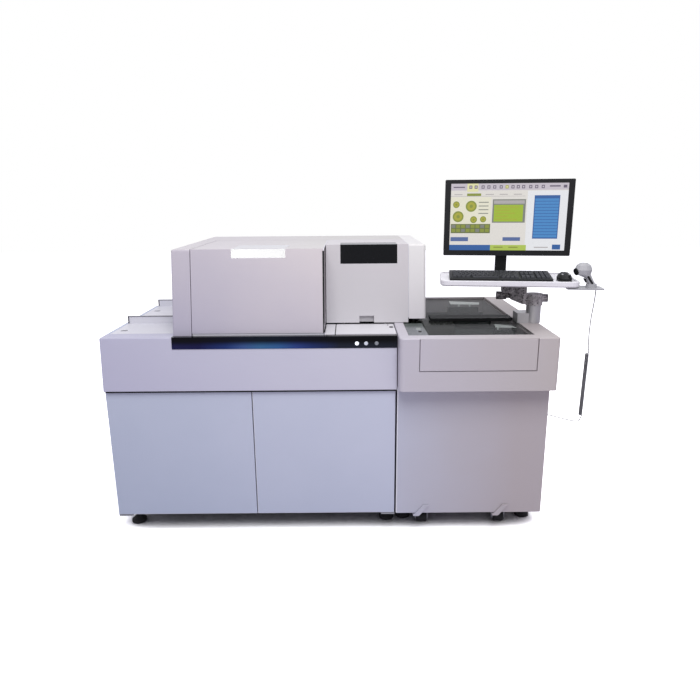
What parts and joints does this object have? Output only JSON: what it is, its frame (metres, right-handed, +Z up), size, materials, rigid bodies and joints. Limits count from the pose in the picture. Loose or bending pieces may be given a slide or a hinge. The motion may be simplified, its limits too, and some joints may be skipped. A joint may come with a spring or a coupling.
{
  "type": "clinical chemistry analyzer",
  "caption": "Clinical chemistry analyzer cabinet with a hinged hood over reagent and reaction wheels, a sample rack feeder beside it and a monitor console on a swivelling arm.",
  "frame": {"origin": "on the floor, under the middle of the whole machine", "axes": "+X to the operator's right along the front, +Y to the back, +Z up; the operator stands on the -Y side"},
  "size_m": [2.1045, 1.019, 1.529],
  "materials": {
    "cover_white": "satin",
    "panel_paint": "satin powder coat",
    "grey_paint": "satin powder coat",
    "frame_steel": "matte",
    "strip_gloss": "gloss",
    "button_light": "gloss",
    "deck_steel": "brushed",
    "wheel_plastic": "satin",
    "smoked_glass": "polished",
    "tank_plastic": "translucent moulding",
    "unit_metal": "satin",
    "foot_rubber": "matte",
    "wheel_rubber": "matte",
    "post_metal": "brushed",
    "arm_dark": "textured",
    "tray_white": "satin",
    "black_plastic": "satin",
    "screen_glass": "gloss",
    "scanner_grey": "satin",
    "trigger_dark": "satin",
    "cord_black": "matte"
  },
  "bodies": {
    "base": {"arm_post": "post_metal", "chassis": "frame_steel", "cord_lower_lead": "cord_black", "cord_port": "black_plastic", "deck_plate": "deck_steel", "display_strip": "strip_gloss", "feeder_box": "grey_paint", "feeder_cabinet": "grey_paint", "feeder_front_panel": "grey_paint", "fluid_tanks": "tank_plastic", "front_band": "panel_paint", "front_ledge": "cover_white", "hood_end_cap": "cover_white", "hood_shell": "cover_white", "left_side_panel": "panel_paint", "levelling_feet": "foot_rubber", "power_unit": "unit_metal", "rack_lanes": "deck_steel", "rear_glass": "smoked_glass", "rear_panel": "panel_paint", "sample_racks": "wheel_plastic", "side_covers": "cover_white"},
    "hood_lid": {"main_lid": "cover_white", "main_lid_window": "smoked_glass"},
    "sampler_lid": {"stat_lid": "cover_white", "stat_lid_window": "smoked_glass"},
    "door_left": {"left_door": "panel_paint"},
    "door_right": {"right_door": "panel_paint"},
    "flap": {"feeder_flap": "grey_paint"},
    "cover_slide": {"sliding_cover": "smoked_glass"},
    "button_start": {"start_button": "button_light"},
    "button_pause": {"pause_button": "button_light"},
    "button_stop": {"stop_button": "button_light"},
    "wheel_reagent": {"reagent_wheel": "wheel_plastic"},
    "wheel_reaction": {"reaction_wheel": "wheel_plastic"},
    "table_stat": {"stat_table": "wheel_plastic"},
    "column_sample": {"sample_arm_column": "deck_steel"},
    "arm_sample": {"sample_arm": "cover_white"},
    "column_reagent": {"reagent_arm_column": "deck_steel"},
    "arm_reagent": {"reagent_arm": "cover_white"},
    "head_mixer": {"mixer_head": "cover_white"},
    "head_wash": {"wash_head": "cover_white"},
    "fork_left": {"caster_fork_left": "frame_steel"},
    "castor_left": {"caster_wheel_left": "wheel_rubber"},
    "fork_right": {"caster_fork_right": "frame_steel"},
    "castor_right": {"caster_wheel_right": "wheel_rubber"},
    "console": {"console_arm": "arm_dark", "console_tray": "tray_white", "monitor_stand": "black_plastic", "keyboard": "black_plastic", "mouse_body": "black_plastic", "scanner_stand": "scanner_grey", "scanner_body": "scanner_grey", "cord_upper_lead": "cord_black", "cord_coil": "cord_black"},
    "monitor": {"monitor_shell": "black_plastic", "monitor_screen": "screen_glass"},
    "wheel_mouse": {"mouse_wheel": "wheel_rubber"},
    "key_space": {"space_bar": "black_plastic"},
    "trigger": {"scanner_trigger": "trigger_dark"}
  },
  "joints": [
    {"name": "main_lid_hinge", "type": "hinge", "parent": "base", "child": "hood_lid", "pos_m": [-0.3957, 0.193, 1.252], "axis": [-1, 0, 0], "range_deg": [0, 65]},
    {"name": "stat_lid_hinge", "type": "hinge", "parent": "base", "child": "sampler_lid", "pos_m": [0.0703, 0.193, 1.252], "axis": [-1, 0, 0], "range_deg": [0, 65]},
    {"name": "left_door_hinge", "type": "hinge", "parent": "base", "child": "door_left", "pos_m": [-1.0422, -0.4165, 0.375], "axis": [0, 0, -1], "range_deg": [0, 100]},
    {"name": "right_door_hinge", "type": "hinge", "parent": "base", "child": "door_right", "pos_m": [0.1678, -0.4165, 0.375], "axis": [0, 0, 1], "range_deg": [0, 100]},
    {"name": "flap_hinge", "type": "hinge", "parent": "base", "child": "flap", "pos_m": [0.5103, -0.5095, 0.77], "axis": [1, 0, 0], "range_deg": [0, 80]},
    {"name": "cover_travel", "type": "slide", "parent": "base", "child": "cover_slide", "axis": [0, 1, 0], "range_m": [0, 0.3]},
    {"name": "start_press", "type": "slide", "parent": "base", "child": "button_start", "axis": [0, 0.997, -0.078], "range_m": [0, 0.0015], "stiffness_N_per_m": 400, "springref_m": -0.001},
    {"name": "pause_press", "type": "slide", "parent": "base", "child": "button_pause", "axis": [0, 0.997, -0.078], "range_m": [0, 0.0015], "stiffness_N_per_m": 400, "springref_m": -0.001},
    {"name": "stop_press", "type": "slide", "parent": "base", "child": "button_stop", "axis": [0, 0.997, -0.078], "range_m": [0, 0.0015], "stiffness_N_per_m": 400, "springref_m": -0.001},
    {"name": "reagent_spin", "type": "hinge", "parent": "base", "child": "wheel_reagent", "pos_m": [-0.5022, -0.0955, 0.8], "axis": [0, 0, 1], "continuous": true},
    {"name": "reaction_spin", "type": "hinge", "parent": "base", "child": "wheel_reaction", "pos_m": [-0.1822, 0.1745, 0.8], "axis": [0, 0, 1], "continuous": true},
    {"name": "stat_spin", "type": "hinge", "parent": "base", "child": "table_stat", "pos_m": [0.0628, -0.0255, 0.8], "axis": [0, 0, 1], "continuous": true},
    {"name": "sample_lift", "type": "slide", "parent": "base", "child": "column_sample", "axis": [0, 0, 1], "range_m": [0, 0.05]},
    {"name": "sample_swing", "type": "hinge", "parent": "column_sample", "child": "arm_sample", "pos_m": [0.0778, 0.2145, 1], "axis": [0, 0, 1], "range_deg": [-65, 49]},
    {"name": "reagent_lift", "type": "slide", "parent": "base", "child": "column_reagent", "axis": [0, 0, 1], "range_m": [0, 0.05]},
    {"name": "reagent_swing", "type": "hinge", "parent": "column_reagent", "child": "arm_reagent", "pos_m": [-0.4222, 0.1845, 1], "axis": [0, 0, 1], "range_deg": [-47, 29]},
    {"name": "mixer_lift", "type": "slide", "parent": "base", "child": "head_mixer", "axis": [0, 0, 1], "range_m": [0, 0.04]},
    {"name": "wash_lift", "type": "slide", "parent": "base", "child": "head_wash", "axis": [0, 0, 1], "range_m": [0, 0.04]},
    {"name": "left_caster_swivel", "type": "hinge", "parent": "base", "child": "fork_left", "pos_m": [0.3138, -0.3315, 0.07], "axis": [0, 0, 1], "continuous": true},
    {"name": "left_caster_roll", "type": "hinge", "parent": "fork_left", "child": "castor_left", "pos_m": [0.3138, -0.3455, 0.025], "axis": [1, 0, 0], "continuous": true},
    {"name": "right_caster_swivel", "type": "hinge", "parent": "base", "child": "fork_right", "pos_m": [0.6678, -0.3315, 0.07], "axis": [0, 0, 1], "continuous": true},
    {"name": "right_caster_roll", "type": "hinge", "parent": "fork_right", "child": "castor_right", "pos_m": [0.6678, -0.3455, 0.025], "axis": [1, 0, 0], "continuous": true},
    {"name": "console_swivel", "type": "hinge", "parent": "base", "child": "console", "pos_m": [0.8138, -0.1995, 1.01], "axis": [0, 0, 1], "range_deg": [-30, 60]},
    {"name": "monitor_tilt", "type": "hinge", "parent": "console", "child": "monitor", "pos_m": [0.68988, -0.06091, 1.33], "axis": [0.9903, -0.1392, 0], "range_deg": [-20, 5]},
    {"name": "mouse_roll", "type": "hinge", "parent": "console", "child": "wheel_mouse", "pos_m": [0.90437, -0.28797, 1.133], "axis": [0.9903, -0.1392, 0], "continuous": true},
    {"name": "space_press", "type": "slide", "parent": "console", "child": "key_space", "axis": [0, 0, -1], "range_m": [0, 0.003], "stiffness_N_per_m": 120, "springref_m": -0.002},
    {"name": "trigger_pull", "type": "slide", "parent": "console", "child": "trigger", "axis": [0.9903, -0.1392, 0], "range_m": [0, 0.004], "stiffness_N_per_m": 150, "springref_m": -0.002}
  ]
}
